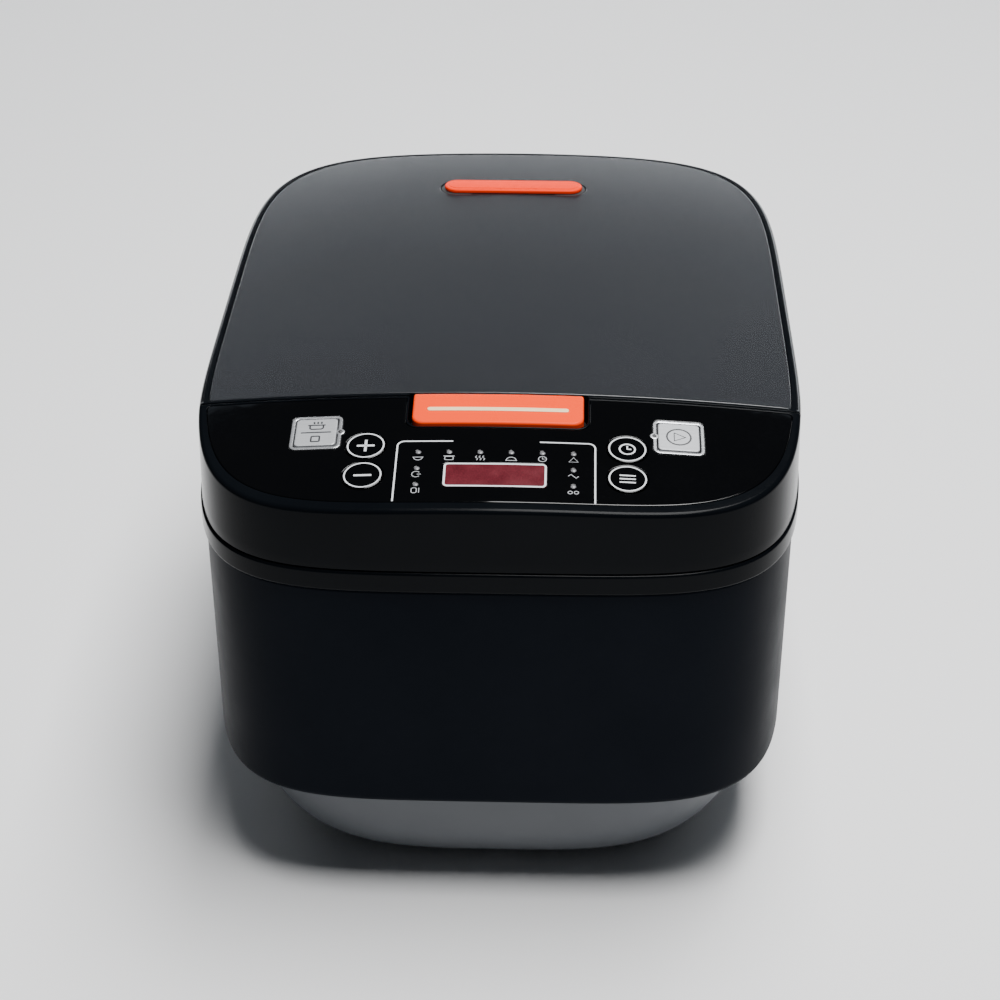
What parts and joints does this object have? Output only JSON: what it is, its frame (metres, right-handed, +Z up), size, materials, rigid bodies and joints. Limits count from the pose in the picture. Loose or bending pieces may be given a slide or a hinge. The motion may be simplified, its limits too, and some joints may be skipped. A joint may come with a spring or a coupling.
{
  "type": "electric multicooker",
  "caption": "Countertop electric multicooker: rounded body on a sloping base, tilted control console with keys and display, hinged lid, removable cooking pot.",
  "frame": {"origin": "on the ground, under the middle of the body's bounding box", "axes": "+Z up, the front with the console faces -Y, width along X"},
  "size_m": [0.273, 0.363, 0.2264],
  "materials": {
    "shell": "satin, blue-black",
    "gloss": "high gloss",
    "matte": "fine matte",
    "base": "satin grey",
    "rubber": "matte",
    "orange": "gloss orange",
    "silver": "brushed",
    "white": "translucent white",
    "lens": "dark red window",
    "board": "solder mask",
    "part": "fine texture",
    "steel": "bright",
    "aluminium": "satin",
    "coating": "non-stick coating",
    "silicone": "soft silicone",
    "wire": "sleeved"
  },
  "bodies": {
    "body": {"base_tray": "base", "foot_front_left": "rubber", "foot_front_right": "rubber", "foot_rear_left": "rubber", "foot_rear_right": "rubber", "outer_shell": "shell", "trim_band": "gloss", "console_housing": "gloss", "control_fascia": "gloss", "deck_plate": "part", "power_inlet": "part", "display_module": "part", "sensor_guide": "part", "hinge_lug_left": "steel", "hinge_lug_right": "steel", "inlet_screw_left": "steel", "inlet_screw_right": "steel", "latch_pin": "steel", "latch_spring": "steel", "heating_element": "steel", "plate_post_1": "steel", "plate_post_2": "steel", "plate_post_3": "steel", "post_screw_1": "steel", "post_screw_2": "steel", "post_screw_3": "steel", "sensor_spring": "steel", "hinge_shaft": "steel", "hinge_spring": "steel", "power_board": "board", "control_board": "board", "wiring_loom": "wire", "display_window": "lens", "light_guide": "white", "thermal_fuse": "white", "cancel_key_frame": "silver", "start_key_frame": "silver", "inner_liner": "aluminium", "heating_plate": "aluminium"},
    "lid": {"lid_shell": "gloss", "lid_panel": "matte", "lid_inner_frame": "part", "inner_lid_plate": "aluminium", "lid_gasket": "silicone", "steam_valve": "part", "lid_catch": "steel"},
    "vent_cap": {"steam_vent_cap": "part", "vent_trim": "orange"},
    "pot": {"inner_pot": "coating"},
    "release_button": {"release_button": "orange"},
    "latch_hook": {"latch_hook": "steel"},
    "sensor": {"sensor_cup": "aluminium"},
    "cancel_key": {"cancel_key": "silver"},
    "start_key": {"start_key": "silver"},
    "plus_key": {"plus_key": "gloss"},
    "minus_key": {"minus_key": "gloss"},
    "upper_menu_key": {"upper_menu_key": "gloss"},
    "lower_menu_key": {"lower_menu_key": "gloss"}
  },
  "joints": [
    {"name": "lid_hinge", "type": "hinge", "parent": "body", "child": "lid", "pos_m": [0, 0.1768, 0.1842], "axis": [-1, 0, 0], "range_deg": [0, 80]},
    {"name": "vent_cap_lift", "type": "slide", "parent": "lid", "child": "vent_cap", "axis": [0, 0, 1], "range_m": [0, 0.012]},
    {"name": "pot_turn", "type": "hinge", "parent": "body", "child": "pot", "pos_m": [0, 0.03205, 0.042], "axis": [0, 0, 1], "continuous": true},
    {"name": "release_press", "type": "slide", "parent": "body", "child": "release_button", "axis": [0, 0, -1], "range_m": [0, 0.0035], "stiffness_N_per_m": 600, "springref_m": -0.001, "deforming": ["latch_spring"]},
    {"name": "latch_pivot", "type": "hinge", "parent": "body", "child": "latch_hook", "pos_m": [0, -0.112, 0.186], "axis": [1, 0, 0], "range_deg": [0, 24.1]},
    {"name": "sensor_travel", "type": "slide", "parent": "body", "child": "sensor", "axis": [0, 0, -1], "range_m": [0, 0.003], "stiffness_N_per_m": 300, "springref_m": -0.003, "deforming": ["sensor_spring"]},
    {"name": "cancel_key_press", "type": "slide", "parent": "body", "child": "cancel_key", "axis": [0.0581, 0.1768, -0.9825], "range_m": [0, 0.0008], "stiffness_N_per_m": 400, "springref_m": -0.0005},
    {"name": "start_key_press", "type": "slide", "parent": "body", "child": "start_key", "axis": [-0.0581, 0.1768, -0.9825], "range_m": [0, 0.0008], "stiffness_N_per_m": 400, "springref_m": -0.0005},
    {"name": "plus_key_press", "type": "slide", "parent": "body", "child": "plus_key", "axis": [0.0417, 0.1769, -0.9833], "range_m": [0, 0.0008], "stiffness_N_per_m": 400, "springref_m": -0.0005},
    {"name": "minus_key_press", "type": "slide", "parent": "body", "child": "minus_key", "axis": [0.0417, 0.1769, -0.9833], "range_m": [0, 0.0008], "stiffness_N_per_m": 400, "springref_m": -0.0005},
    {"name": "upper_menu_key_press", "type": "slide", "parent": "body", "child": "upper_menu_key", "axis": [-0.0417, 0.1769, -0.9833], "range_m": [0, 0.0008], "stiffness_N_per_m": 400, "springref_m": -0.0005},
    {"name": "lower_menu_key_press", "type": "slide", "parent": "body", "child": "lower_menu_key", "axis": [-0.0417, 0.1769, -0.9833], "range_m": [0, 0.0008], "stiffness_N_per_m": 400, "springref_m": -0.0005}
  ],
  "couplings": [
    {"joint": "latch_pivot", "follows": "release_press", "rad_per_m": 120}
  ]
}
